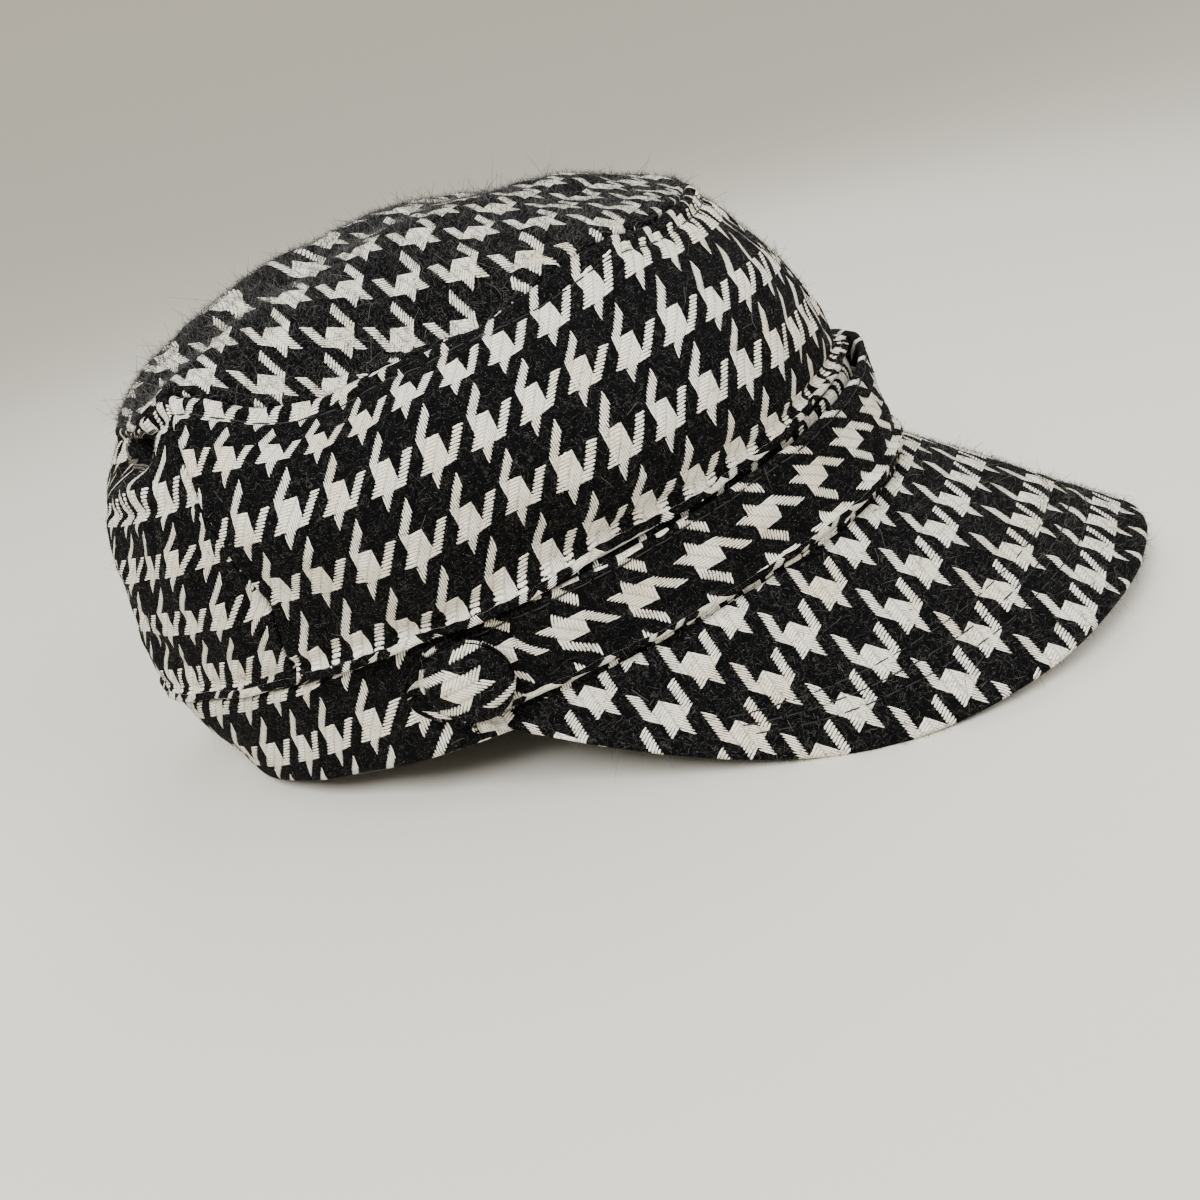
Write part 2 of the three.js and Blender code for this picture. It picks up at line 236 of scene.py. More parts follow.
def plain_mesh(name, points, triangles, weave=None):
    mesh = bpy.data.meshes.new(name)
    mesh.vertices.add(len(points))
    mesh.vertices.foreach_set("co", points.astype(np.float32).ravel())
    mesh.loops.add(triangles.size)
    mesh.loops.foreach_set("vertex_index", triangles.astype(np.int32).ravel())
    mesh.polygons.add(len(triangles))
    mesh.polygons.foreach_set("loop_start", np.arange(0, triangles.size, 3, dtype=np.int32))
    mesh.polygons.foreach_set("use_smooth", np.ones(len(triangles), bool))
    if weave is not None:
        mesh.uv_layers.new(name="threads").data.foreach_set("uv", weave.astype(np.float32).ravel())
    mesh.update(calc_edges=True)
    made = bpy.data.objects.new(name, mesh)
    bpy.context.scene.collection.objects.link(made)
    return made


def linear(colour):
    """A colour from its sRGB hex value to the linear values that the shader takes."""
    srgb = np.array([int(colour[k:k + 2], 16) for k in (1, 3, 5)]) / 255
    return (*np.where(srgb > 0.04045, ((srgb + 0.055) / 1.055) ** 2.4, srgb / 12.92), 1)


def blank_material(name):
    """A new material and its node tree, empty."""
    material = bpy.data.materials.new(name)
    material.use_nodes = True
    material.node_tree.nodes.clear()
    return material, material.node_tree


def add_node(tree, kind, inputs, **settings):
    """A node with its settings, each input given a value or joined to another node's output."""
    made = tree.nodes.new("ShaderNode" + kind)
    for setting, value in settings.items():
        setattr(made, setting, value)
    for socket, value in inputs.items():
        if isinstance(value, bpy.types.NodeSocket):
            tree.links.new(value, made.inputs[socket])
        else:
            made.inputs[socket].default_value = value
    return next((socket for socket in made.outputs if socket.enabled), None)


# Wool cloth in a houndstooth check, woven in a six-and-six twill from thick soft yarn and
# brushed a little. Each yarn shows as a short rounded rib, light or dark, and fine hairs lie over
# both. It has no gloss.
CREAM = "#F4F0E4"
CREAM_YELLOW = "#EADFC4"
# painted shade: the cream deep in the gaps between yarns
CREAM_PAINTED_GAP_SHADE = "#958B79"
BLACK = "#030304"
# painted light: the black on the yarn tops, lighter than in the gaps
BLACK_PAINTED_LIT_TOP = "#0B0B0C"
HAIR = "#77746E"
TWILL = 12                        # threads in one repeat of the twill
RIB = 0.25                        # height of a yarn over the gap beside it
SWAY = 1.9                        # threads that the rows wander by over a long way
RAGGED = 0.9                      # threads that an edge of a light shape wanders by
LIGHT_THREADS = 10                # in one repeat of the check; the rest are black
FRAY_FROM, FRAY_TO = 0.58, 0.92   # heights between which a light yarn's edge comes out of the dark

wool, tree = blank_material("wool_twill_houndstooth")
weave_map = add_node(tree, "UVMap", {}, uv_map="threads")
add_node(tree, "TexNoise", {"Vector": weave_map, "Scale": 0.033, "Detail": 1.0})
wander = tree.nodes[-1].outputs["Color"]
add_node(tree, "TexNoise", {"Vector": weave_map, "Scale": 0.6, "Detail": 3.0, "Roughness": 0.7})
ragged = tree.nodes[-1].outputs["Color"]
place = add_node(tree, "VectorMath", {0: wander, 1: (SWAY, SWAY, 0), 2: weave_map},
                 operation="MULTIPLY_ADD")
place = add_node(tree, "VectorMath", {0: ragged, 1: (RAGGED, RAGGED, 0), 2: place},
                 operation="MULTIPLY_ADD")
shift = (SWAY + RAGGED) / 2
place = add_node(tree, "VectorMath", {0: place, 1: (shift, shift, 0)}, operation="SUBTRACT")

whole = add_node(tree, "VectorMath", {0: place}, operation="FLOOR")
part = add_node(tree, "VectorMath", {0: place}, operation="FRACTION")
add_node(tree, "SeparateXYZ", {0: whole})
warp, weft = tree.nodes[-1].outputs["X"], tree.nodes[-1].outputs["Y"]
add_node(tree, "SeparateXYZ", {0: part})
in_warp, in_weft = tree.nodes[-1].outputs["X"], tree.nodes[-1].outputs["Y"]

# The twill: warp over weft on six threads, weft over warp on the next six, a thread on each row.
step = add_node(tree, "Math", {0: warp, 1: weft}, operation="SUBTRACT")
step = add_node(tree, "Math", {0: step, 1: TWILL - 1}, operation="ADD")
step = add_node(tree, "Math", {0: step, 1: TWILL}, operation="FLOORED_MODULO")
warp_over = add_node(tree, "Math", {0: step, 1: TWILL / 2 - 0.5}, operation="LESS_THAN")

# The check: the light threads are those close enough to the middle of the first half of a repeat.
light_half = {1: (THREADS / 2 - 1) / 2, 2: LIGHT_THREADS / 2}
light_warp = add_node(tree, "Math", {0: warp, 1: THREADS}, operation="FLOORED_MODULO")
light_warp = add_node(tree, "Math", {0: light_warp, **light_half}, operation="COMPARE")
light_weft = add_node(tree, "Math", {0: weft, 1: THREADS}, operation="FLOORED_MODULO")
light_weft = add_node(tree, "Math", {0: light_weft, **light_half}, operation="COMPARE")
light_over = add_node(tree, "Mix", {0: warp_over, 2: light_weft, 3: light_warp}, data_type="FLOAT")
light_under = add_node(tree, "Mix", {0: warp_over, 2: light_warp, 3: light_weft}, data_type="FLOAT")

# Each yarn's height: round across the yarn, and dipping at both ends of the six threads it spans.
across = add_node(tree, "Mix", {0: warp_over, 2: in_weft, 3: in_warp}, data_type="FLOAT")
warp_way = add_node(tree, "Math", {0: in_weft, 1: step}, operation="SUBTRACT")
warp_way = add_node(tree, "Math", {0: warp_way, 1: TWILL / 2 - 1}, operation="ADD")
weft_way = add_node(tree, "Math", {0: in_warp, 1: step}, operation="ADD")
weft_way = add_node(tree, "Math", {0: weft_way, 1: TWILL / 2}, operation="SUBTRACT")
way = add_node(tree, "Mix", {0: warp_over, 2: weft_way, 3: warp_way}, data_type="FLOAT")
across = add_node(tree, "Math", {0: across, 1: 0.5}, operation="SUBTRACT")
across = add_node(tree, "Math", {0: across, 1: across}, operation="MULTIPLY")
round_over = add_node(tree, "Math", {0: across, 1: -4.0, 2: 1.0}, operation="MULTIPLY_ADD")
way = add_node(tree, "Math", {0: way, 1: 4 / TWILL, 2: -1.0}, operation="MULTIPLY_ADD")
way = add_node(tree, "Math", {0: way}, operation="ABSOLUTE")
way = add_node(tree, "Math", {0: way, 1: 2.2}, operation="POWER")
bow = add_node(tree, "Math", {0: way, 1: -1.0, 2: 1.0}, operation="MULTIPLY_ADD")
height = add_node(tree, "Math", {0: round_over, 1: bow}, operation="MULTIPLY", use_clamp=True)
fleck = add_node(tree, "TexNoise", {"Vector": weave_map, "Scale": 2.2, "Detail": 3.0, "Roughness": 0.7})
frayed = add_node(tree, "Math", {0: fleck, 1: 0.7, 2: height}, operation="MULTIPLY_ADD")

# A light yarn over a dark one shows the dark at its sides and ends; over a light one it does not.
shown = add_node(tree, "MapRange", {0: frayed, 1: FRAY_FROM, 2: FRAY_TO}, interpolation_type="SMOOTHSTEP")
shown = add_node(tree, "Math", {0: shown, 1: light_under}, operation="MAXIMUM")
light = add_node(tree, "Math", {0: light_over, 1: shown}, operation="MULTIPLY")

# Colour: yellower patches in the cream, painted shade in the gaps between yarns with lighter
# yarn tops, on the cream and the black alike, and hairs.
add_node(tree, "TexCoord", {})
solid_place = tree.nodes[-1].outputs["Object"]
patch = add_node(tree, "TexNoise", {"Vector": solid_place, "Scale": 70.0, "Detail": 2.0})
patch = add_node(tree, "MapRange", {0: patch, 1: 0.5, 2: 0.78})
cream = add_node(tree, "Mix", {0: patch, 6: linear(CREAM), 7: linear(CREAM_YELLOW)}, data_type="RGBA")
# Painted light and shade of the yarns' relief: by yarn height, the gaps are darker and the tops lighter.
lit = add_node(tree, "MapRange", {0: frayed, 1: 0.25, 2: 0.85})
cream = add_node(tree, "Mix", {0: lit, 6: linear(CREAM_PAINTED_GAP_SHADE), 7: cream}, data_type="RGBA")
black = add_node(tree, "Mix", {0: lit, 6: linear(BLACK), 7: linear(BLACK_PAINTED_LIT_TOP)}, data_type="RGBA")
cloth_colour = add_node(tree, "Mix", {0: light, 6: black, 7: cream}, data_type="RGBA")
strand = add_node(tree, "TexNoise", {
    "Vector": solid_place, "Scale": 420.0, "Detail": 2.0, "Distortion": 1.2})
strand = add_node(tree, "Math", {0: strand, 1: 0.5}, operation="SUBTRACT")
strand = add_node(tree, "Math", {0: strand}, operation="ABSOLUTE")
strand = add_node(tree, "MapRange", {0: strand, 1: 0.018, 2: 0.004, 3: 0.0, 4: 0.16})
cloth_colour = add_node(tree, "Mix", {0: strand, 6: cloth_colour, 7: linear(HAIR)}, data_type="RGBA")
relief = add_node(tree, "Math", {0: fleck, 1: 0.5, 2: height}, operation="MULTIPLY_ADD")
bump = add_node(tree, "Bump", {"Height": relief, "Distance": RIB * MM, "Strength": 1.0})
shader = add_node(tree, "BsdfPrincipled", {
    "Base Color": cloth_colour, "Normal": bump, "Roughness": 1.0, "Specular IOR Level": 0.05})
add_node(tree, "OutputMaterial", {"Surface": shader})

band_degrees = np.linspace(180, -180, 361)
band_along = length_along(crown_point(0.5, np.linspace(180, -180, 721)))
band_along = np.interp(-band_degrees, -np.linspace(180, -180, 721), band_along)
band_down = stations(BAND_HEIGHT, 1.2, 1.0)
down, degrees = np.meshgrid(band_down, band_degrees[:-1], indexing="ij")
level = 0.985 * (1 - down / BAND_HEIGHT)
edge = np.minimum(down, BAND_HEIGHT - down)
puff = (bell(edge, 2.2, 1.6, 0.35) + bell(BAND_HEIGHT - down, 6.5, 1.2, -0.3)
        + 0.35 * slack(crown_point(level, degrees), 30, 11))
BAND_LAY = dict(across=(11.746, -1.171), up=(3.652, -19.891), corner=(91.68, 2.39), centre=(90, 15),
                reach=40, ease_along=(-0.0012, -0.00516, -0.00127, -0.0148, 0.00153, 0.00049, 0.00008),
                ease_down=(-0.00032, 0.00105, -0.00057, 0.00051, 0.0003, 0.00089, 0.00007))
band_weave = thread_numbers(*np.meshgrid(band_along, band_down), BAND_LAY)
headband, band_face = closed_mesh("headband_cloth", pushed(level, degrees, puff),
                                  pushed(level, degrees, puff - CLOTH), rounded(edge, 1.0),
                                  band_weave, looped=True)
headband.data.materials.append(wool)
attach(headband, "root")
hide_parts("headband")

# The tape inside the rim
# Woven black tape round the inside of the headband, sewn to its lower edge, where it shows as a
# thin black line. Its fine cross ribs give it a dull, slightly silky look.
TAPE = 0.9                        # thickness of the tape
TAPE_GAP = 0.5                    # between the headband and the tape
TAPE_DROP = 1.2                   # how far the tape hangs below the rim
TAPE_WIDTH = 23.5
TAPE_BLACK = "#101012"
TAPE_RIB = 0.9                    # spacing of the cross ribs, drawn coarser than real to show

tape, tree = blank_material("ribbed_tape_black")
tape_map = add_node(tree, "UVMap", {}, uv_map="threads")
add_node(tree, "SeparateXYZ", {0: tape_map})
tape_along = tree.nodes[-1].outputs["X"]
ribs = add_node(tree, "Math", {0: tape_along, 1: 2 * np.pi / TAPE_RIB}, operation="MULTIPLY")
ribs = add_node(tree, "Math", {0: ribs}, operation="SINE")
bump = add_node(tree, "Bump", {"Height": ribs, "Distance": 0.08 * MM, "Strength": 1.0})
shader = add_node(tree, "BsdfPrincipled", {
    "Base Color": linear(TAPE_BLACK), "Normal": bump, "Roughness": 0.7, "Sheen Weight": 0.1})
add_node(tree, "OutputMaterial", {"Surface": shader})

tape_down = stations(TAPE_WIDTH, 3.5, TAPE / 2)
down, degrees = np.meshgrid(tape_down, band_degrees[:-1], indexing="ij")
level = (TAPE_WIDTH - TAPE_DROP - down) / BAND_HEIGHT
tape_weave = np.stack(np.meshgrid(band_along, tape_down), -1)
tape_face = np.full(level.shape, -CLOTH - TAPE_GAP)
sweatband, _ = closed_mesh("sweatband_tape", pushed(level, degrees, tape_face),
                           pushed(level, degrees, tape_face - TAPE),
                           rounded(np.minimum(down, TAPE_WIDTH - down), TAPE / 2), tape_weave, looped=True)
sweatband.data.materials.append(tape)
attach(sweatband, "root")
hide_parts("sweatband")

# The side panels
# Two panels of cloth from the middle of the front to the rear seams. Their seam allowances are
# folded back under the edges, which makes a soft roll along each seam, thickest over the headband.
REAR_SEAM = 119                   # degrees from the front
SIDE_LENGTH = 197.6
SIDE_HEIGHT = 70.7
SEAM_TURN = 0.6                   # radius that the cloth turns in by at a sewn edge
SEAM_ROLL = 2.9                   # width of the roll over the headband
TOP_ROW = 5.4                     # how far below the top seam its row of stitching runs
SIDE_LAY = dict(across=(12.249, -1.141), up=(6.126, -16.771), corner=(60.73, 17.74), centre=(79.4, 31.9),
                reach=80,
                ease_along=(-0.00035, 0.00243, -0.00262, -0.00044, 0.00048, -0.00188, -0.0092),
                ease_down=(-0.0005, -0.0024, -0.00183, -0.00109, -0.00052, 0.00104, -0.00183))


def seam_roll(edge, width, height):
    """A roll along a sewn edge: raised a little way in, and drawn down to the seam itself."""
    return bell(edge, width, width * 0.75, height) + bell(edge, 0, 0.6, -0.25)


def panel_places(from_degrees, to_degrees, height, step_along, step_down):
    """Places on a crown panel: distances along its middle line and down from the top seam, with the
    angle and the level at each."""
    angle = np.linspace(from_degrees, to_degrees, 721)
    along_all = length_along(crown_point(2.0, angle))
    lift = np.linspace(TOP_SEAM, 1.0, 521)
    down_all = length_along(crown_point(lift, (from_degrees + to_degrees) / 2))
    down_all *= height / down_all[-1]
    along = stations(along_all[-1], step_along, SEAM_TURN)
    down = stations(height, step_down, SEAM_TURN)
    down = np.sort(np.append(down, height - SEAM_ROLL + np.array([-0.03, 0.03])))
    return along, down, np.interp(along, along_all, angle), np.interp(down, down_all, lift)


# Small crumples of the soft cloth, on both sides alike.
# level, degrees from the front, spread in levels, in degrees, height
CRUMPLES = np.array([
    [3.34, 136, 0.13, 8, -5.0],       # bottom of the rear pit
    [3.05, 138, 0.1, 12, 2.5],        # lip under the pit
    [3.47, 126, 0.07, 5, -2.5],       # pinch at the rear corner
    [2.86, 140, 0.06, 16, -1.6],      # crease below the lip
    [3.74, 66, 0.1, 6, -4.5],         # pinch where the seam is lifted
    [3.9, 57, 0.12, 5, 1.6],          # cloth thrown up beside it
    [3.42, 70, 0.1, 6, 1.4],          # and below it
    [3.75, 83, 0.1, 7, -1.6],         # shallow crease running back
])


def crown_slack(level, degrees):
    """The slack of all the crown's panels, the same on both sides of a seam."""
    points = crown_point(level, degrees)
    puff = 0.75 * slack(points, 34, 21) + 0.22 * slack(points, 11, 22)
    turn = np.abs((degrees + 180) % 360 - 180)
    for at, angle, tall, wide, height in CRUMPLES:
        puff = puff + height * np.exp(-((level - at) / tall) ** 2 - ((turn - angle) / wide) ** 2)
    return puff


def side_puff(along, down, level, degrees):
    """How far a side panel stands off its plain face: rolls along its seams, the groove of its
    topstitching, puckers near the seams and slack over the whole."""
    ends = np.minimum(along, SIDE_LENGTH - along)
    foot = SIDE_HEIGHT - down
    pucker = np.sin(2 * np.pi * along / 4.6 + 2.0 * np.sin(along / 17))
    return (seam_roll(ends, 1.3, 0.9) + seam_roll(down, 2.4, 0.5) + bell(down, TOP_ROW, 1.3, -0.55)
            + seam_roll(foot, 1.7, 2.3) + bell(foot, 5.2, 1.6, -0.8)
            + pucker * (bell(foot, 2.6, 2.4, 0.22) + bell(down, 3.0, 3.0, 0.12))
            + crown_slack(level, degrees))


side_faces = []
for name, side in (("right", 1), ("left", -1)):
    along_row, down_row, angle_row, level_row = panel_places(
        side * (REAR_SEAM - 0.04), side * 0.04, SIDE_HEIGHT, 1.2, 0.95)
    down, along = np.meshgrid(down_row, along_row, indexing="ij")
    level, degrees = np.meshgrid(np.clip(level_row, 1.01, 3.596), angle_row, indexing="ij")
    puff = side_puff(along, down, level, degrees)
    edge = np.minimum(np.minimum(along, along_row[-1] - along), np.minimum(down, SIDE_HEIGHT - down))
    seen_along = along if side > 0 else SIDE_LENGTH - along
    weave = thread_numbers(seen_along, down, SIDE_LAY)
    weave = roll_weave(weave, seen_along, SIDE_HEIGHT - down, SEAM_ROLL)
    piece, face = closed_mesh(f"crown_side_{name}_cloth", pushed(level, degrees, puff),
                              pushed(level, degrees, puff - CLOTH), rounded(edge, SEAM_TURN), weave)
    side_faces.append(face)
    piece.data.materials.append(wool)
    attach(piece, "root")
    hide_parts(f"crown_side_{name}")

# The back panel
# One panel between the rear seams, cut fuller than it needs, so that it falls into a deep fold
# under the top seam and rolls out over it.
BACK_HEIGHT = 80.4
# Where the pit's painted shade lies: its middle in the deep part of the fold, and its reach.
PIT_LEVEL, PIT_ANGLE = 3.34, 142  # middle of the deep part of the fold at the right rear
PIT_TALL, PIT_WIDE = 0.19, 17     # and its reach, in levels and degrees
BACK_LAY = dict(across=(12.6, -0.695), up=(5.5, -18.6), corner=(181.42, 56.8), centre=(185, 55), reach=40,
                ease_along=(0.00078, 0.00132, -0.00282, 0, 0, 0, 0),
                ease_down=(-0.00057, -0.00035, -0.00722, 0, 0, 0, 0))
along_row, down_row, angle_row, level_row = panel_places(
    360 - REAR_SEAM - 0.04, REAR_SEAM + 0.04, BACK_HEIGHT, 1.3, 1.0)
down, along = np.meshgrid(down_row, along_row, indexing="ij")
level, degrees = np.meshgrid(np.clip(level_row, 1.01, 3.596), angle_row, indexing="ij")
ends, foot = np.minimum(along, along_row[-1] - along), BACK_HEIGHT - down
puff = (seam_roll(ends, 1.3, 0.9) + seam_roll(down, 2.2, 0.5) + bell(down, TOP_ROW, 1.1, -0.6)
        + seam_roll(foot, 1.6, 1.8) + bell(foot, 4.8, 1.4, -0.5) + crown_slack(level, degrees))
edge = np.minimum(ends, np.minimum(down, foot))
weave = roll_weave(thread_numbers(along, down, BACK_LAY), along, foot, SEAM_ROLL)
# The pit is painted dark as shade: its thread numbers are moved well inside the dark half of the check, so
# only black shows.
painted_pit_shade = np.hypot((level - PIT_LEVEL) / PIT_TALL, (degrees - PIT_ANGLE) / PIT_WIDE) < 1
weave = np.where(painted_pit_shade[..., None], weave % (THREADS / 4) + THREADS * 0.6, weave)
crown_back, back_face = closed_mesh("crown_back_cloth", pushed(level, degrees, puff),
                                    pushed(level, degrees, puff - CLOTH), rounded(edge, SEAM_TURN), weave)
crown_back.data.materials.append(wool)
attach(crown_back, "root")
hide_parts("crown_back")

# The top panel
# One egg-shaped panel, sewn all round to the sides and back and a little slack, so that it sinks
# beside its seam and crumples where the seam is lifted.
TOP_CENTRE = -12.0                # how far back the middle of the top is
TOP_LAY = dict(across=(13.611, 1.431), up=(4.007, -18.215), corner=(-2.73, 22.71), centre=(-7.5, 40),
               reach=50, ease_along=(0.00016, 0.00217, -0.00008, -0.00398, -0.00411, -0.00631, -0.00016),
               ease_down=(0.00677, 0.00642, 0.00018, -0.01209, -0.00022, -0.01491, 0.0087))
rise = np.linspace(3.604, TOP_MIDDLE, 401)
rise_along = length_along(crown_point(rise, 90.0))
in_row = stations(2 * rise_along[-1], 1.7, SEAM_TURN)
in_row = np.append(in_row[in_row < rise_along[-1] - 0.4], rise_along[-1])
top_degrees = np.linspace(180, -180, 301)
inward, degrees = np.meshgrid(in_row, top_degrees[:-1], indexing="ij")
level = np.interp(inward, rise_along, rise)
points = crown_point(level, degrees)
fade = np.clip((rise_along[-1] - inward) / 12, 0, 1)
puff = seam_roll(inward, 2.2, 0.35) + fade * crown_slack(level, degrees)
outer, inner = pushed(level, degrees, puff), pushed(level, degrees, puff - CLOTH)
# The cloth as it lay flat: each place as far from the middle as it is over the cloth.
steps = np.linalg.norm(np.diff(points, axis=0), axis=-1)
over = np.concatenate([np.cumsum(steps[::-1], axis=0)[::-1], np.zeros((1, len(top_degrees) - 1))])
away = points[..., :2] - points[-1, :, :2]
cut = away * (over / np.maximum(np.hypot(away[..., 0], away[..., 1]), 1e-6))[..., None]
cut = np.concatenate([cut, cut[:, :1]], 1)
crown_top, top_face = closed_mesh(
    "crown_top_cloth", outer, inner, rounded(inward, SEAM_TURN),
    thread_numbers(cut[..., 0] + TOP_CENTRE, -cut[..., 1], TOP_LAY, quarter=-1), looped=True)
crown_top.data.materials.append(wool)
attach(crown_top, "root")
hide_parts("crown_top")

# The peak
# A thin stiff board between two layers of cloth, three rows of stitching along its outer part, its
# root sewn to the lower edge of the headband.
SEAM_GAP = 0.3
PEAK_END = 99                     # degrees from the front to the end of the peak's root
PEAK_WALL = 3.2
PEAK_DENT = 0.45                  # how deep the stitching draws the cloth in
PEAK_ROWS = (0.60, 0.68, 0.755)   # how far out each row of stitching runs, from root to edge
# from the middle (0) to the corner (1): distance forward, to the side, height
PEAK_EDGE = np.array([
    [0.0, 148.5, 0, -47.5], [0.15, 139, 27, -46], [0.32, 121.5, 53, -42.5], [0.48, 99.5, 72, -41.5],
    [0.62, 73, 83, -40.5], [0.74, 49, 85.5, -38], [0.85, 23, 85, -29.5], [0.94, -2, 83, -17],
    [1.0, -22, 80.5, -5],
])
PEAK_OUTLINE = np.concatenate([PEAK_EDGE[:0:-1] * (-1, 1, -1, 1), PEAK_EDGE])
PEAK_LAY = dict(across=(19.162, 1.917), up=(4.782, -13.384), corner=(109.21, 51.91), centre=(90, 62),
                reach=70,
                ease_along=(-0.00166, -0.00068, -0.0008, 0.00134, 0.00321, 0.00158, -0.00005),
                ease_down=(0.00087, 0.0001, 0.00097, 0.00037, -0.00128, 0.00008, 0.00111))


def root_level(degrees):
    """The level on the headband that the peak's root follows: low in front, a little up at the sides."""
    return 0.05 + 0.15 * np.sin(np.radians(degrees)) ** 2


def peak_point(u, v, depth=0.0):
    """A point of the peak between its root on the headband (v = 0) and its outer edge (v = 1), on a
    straight line that bows up by 1 mm. Below the upper face it starts lower on the band."""
    root = pushed(root_level(u * PEAK_END) - depth / 31, u * PEAK_END, np.full(np.shape(u), SEAM_GAP))
    edge = read_table(PEAK_OUTLINE, u) * (1, -1, 1)
    if depth:
        at = np.clip(u, -0.9, 0.9)
        across = peak_point(at + 0.02, 0.5) - peak_point(at - 0.02, 0.5)
        normal = np.cross(across, peak_point(at, 0.6) - peak_point(at, 0.4))
        edge = edge - depth * normal / np.linalg.norm(normal, axis=-1, keepdims=True)
    v = np.broadcast_to(v, np.shape(u))[..., None]
    point = root * (1 - v) + edge * v
    point[..., 2] += (4 * v * (1 - v))[..., 0]
    return point


def peak_slack(points):
    """The unevenness of the cloth over the board."""
    return 0.25 * slack(points, 30, 61) + 0.12 * slack(points, 9, 62)


def beyond(a, b, to_a, to_b, side):
    """The flat point at two distances from the ends of the line a to b, on one side of it."""
    line = b - a
    length = np.hypot(*line)
    along = (to_a**2 - to_b**2 + length**2) / (2 * length)
    aside = side * np.sqrt(max(to_a**2 - along**2, 0))
    return a + (line * along + np.array([-line[1], line[0]]) * aside) / length


def unrolled(root, edge):
    """The flat shape of the strip between two curves, as its cloth was cut: from the middle outward,
    each step is laid flat beside the last by the lengths of its sides and its diagonal."""
    flat_root, flat_edge = np.zeros((2, len(root), 2))
    middle = len(root) // 2
    flat_root[middle, 0] = root[middle, 0]
    flat_edge[middle, 0] = root[middle, 0] + np.linalg.norm(edge[middle] - root[middle])
    for side, order in ((1, range(middle, len(root) - 1)), (-1, range(middle, 0, -1))):
        for k in order:
            n = k + side
            sides = [np.linalg.norm(line) for line in
                     (root[n] - root[k], root[n] - edge[k], edge[n] - root[n], edge[n] - edge[k])]
            flat_root[n] = beyond(flat_root[k], flat_edge[k], sides[0], sides[1], side)
            flat_edge[n] = beyond(flat_root[n], flat_edge[k], sides[2], sides[3], side)
    return flat_root, flat_edge


peak_u = np.linspace(-1, 1, 1201)
peak_round = length_along(peak_point(peak_u, 0.7))
round_row = stations(peak_round[-1], 1.4, 1.5)
u_row = np.interp(round_row, peak_round, peak_u)
v_row = stations(62.0, 1.4, 1.6) / 62.0
v, u = np.meshgrid(v_row, u_row, indexing="ij")
reach = np.linalg.norm(peak_point(u_row, 1.0) - peak_point(u_row, 0.0), axis=-1)
from_edge = (1 - v) * reach
ends = np.minimum(round_row, peak_round[-1] - round_row)[None, :] + 0 * v
upper, lower = peak_point(u, v), peak_point(u, v, PEAK_WALL)
normal = (upper - lower) / PEAK_WALL
quilt = sum(bell(v * reach, row * reach, 1.1, -PEAK_DENT) for row in PEAK_ROWS)
puff = quilt + bell(from_edge, 3.2, 2.2, 0.35) + peak_slack(upper)
puff = puff * np.clip(ends / 6, 0, 1)
upper = upper + normal * puff[..., None]
share = rounded(np.minimum(np.minimum(from_edge, v * reach), ends), PEAK_WALL / 2)
cut_root, cut_edge = unrolled(peak_point(peak_u, 0.0), peak_point(peak_u, 1.0))
cut_root, cut_edge = (np.stack([np.interp(u_row, peak_u, cut[:, k]) for k in (0, 1)], -1)
                      for cut in (cut_root, cut_edge))
cut = cut_root * (1 - v[..., None]) + cut_edge * v[..., None]
peak, peak_face = closed_mesh("peak_cloth", upper, lower, share,
                              thread_numbers(cut[..., 0], cut[..., 1], PEAK_LAY, quarter=-1))
peak.data.materials.append(wool)
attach(peak, "root")
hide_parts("peak")

# The strap over the front
# A doubled strip of cloth laid over the front of the headband between the two buttons, with
# rounded ends. Its lower edge makes a firm roll over the peak's root, and its upper edge stands off.
STRAP_END = 105                   # degrees from the front to the strap's end
STRAP_ROUND = 0.1                 # share of each half that closes up round its end
STRAP_WALL = 2.2
STRAP_FLARE = 4.2                 # how far its upper edge stands off at the front
STRAP_WIDTH = 27.0
STRAP_ROW = 2.4                   # how far below its upper edge the stitching runs
STRAP_ROLL = 2.6                  # width of the roll along its lower edge
BUTTON_ANGLE = 95.5               # where the button presses on each end
BUTTON_RADIUS = 10.5
STRAP_LAY = dict(across=(17.065, -0.826), up=(-2.632, -16.766), corner=(54.77, 1.44), centre=(85, 11.9),
                 reach=80,
                 ease_along=(0.00009, -0.00451, 0.00404, -0.00045, -0.00201, 0.02335, 0.0309),
                 ease_down=(0.00055, 0.00082, 0.00357, -0.00127, 0.00094, 0.00984, 0.02279))


def strap_point(u, w, out):
    """A point of the strap from its left end (u = -1) to its right end (1) and from its lower (-1)
    to its upper edge (1): on the headband, closing up round each end, and standing off in front."""
    into = np.clip((np.abs(u) - (1 - STRAP_ROUND)) / STRAP_ROUND, 0, 1)
    width = np.sqrt(np.maximum(1 - into**2, 0.0004))
    low, high = root_level(u * STRAP_END) + 0.03, 0.98
    level = (low + high) / 2 + (high - low) / 2 * w * width
    front = np.maximum(np.cos(np.radians(u * STRAP_END)), 0) ** 2
    stand = STRAP_FLARE * front * ((w + 1) / 2) ** 1.5
    return pushed(level, u * STRAP_END, SEAM_GAP + stand + out)


def strap_slack(points):
    """The unevenness of the strap's cloth."""
    return 0.35 * slack(points, 26, 71) + 0.15 * slack(points, 9, 72)


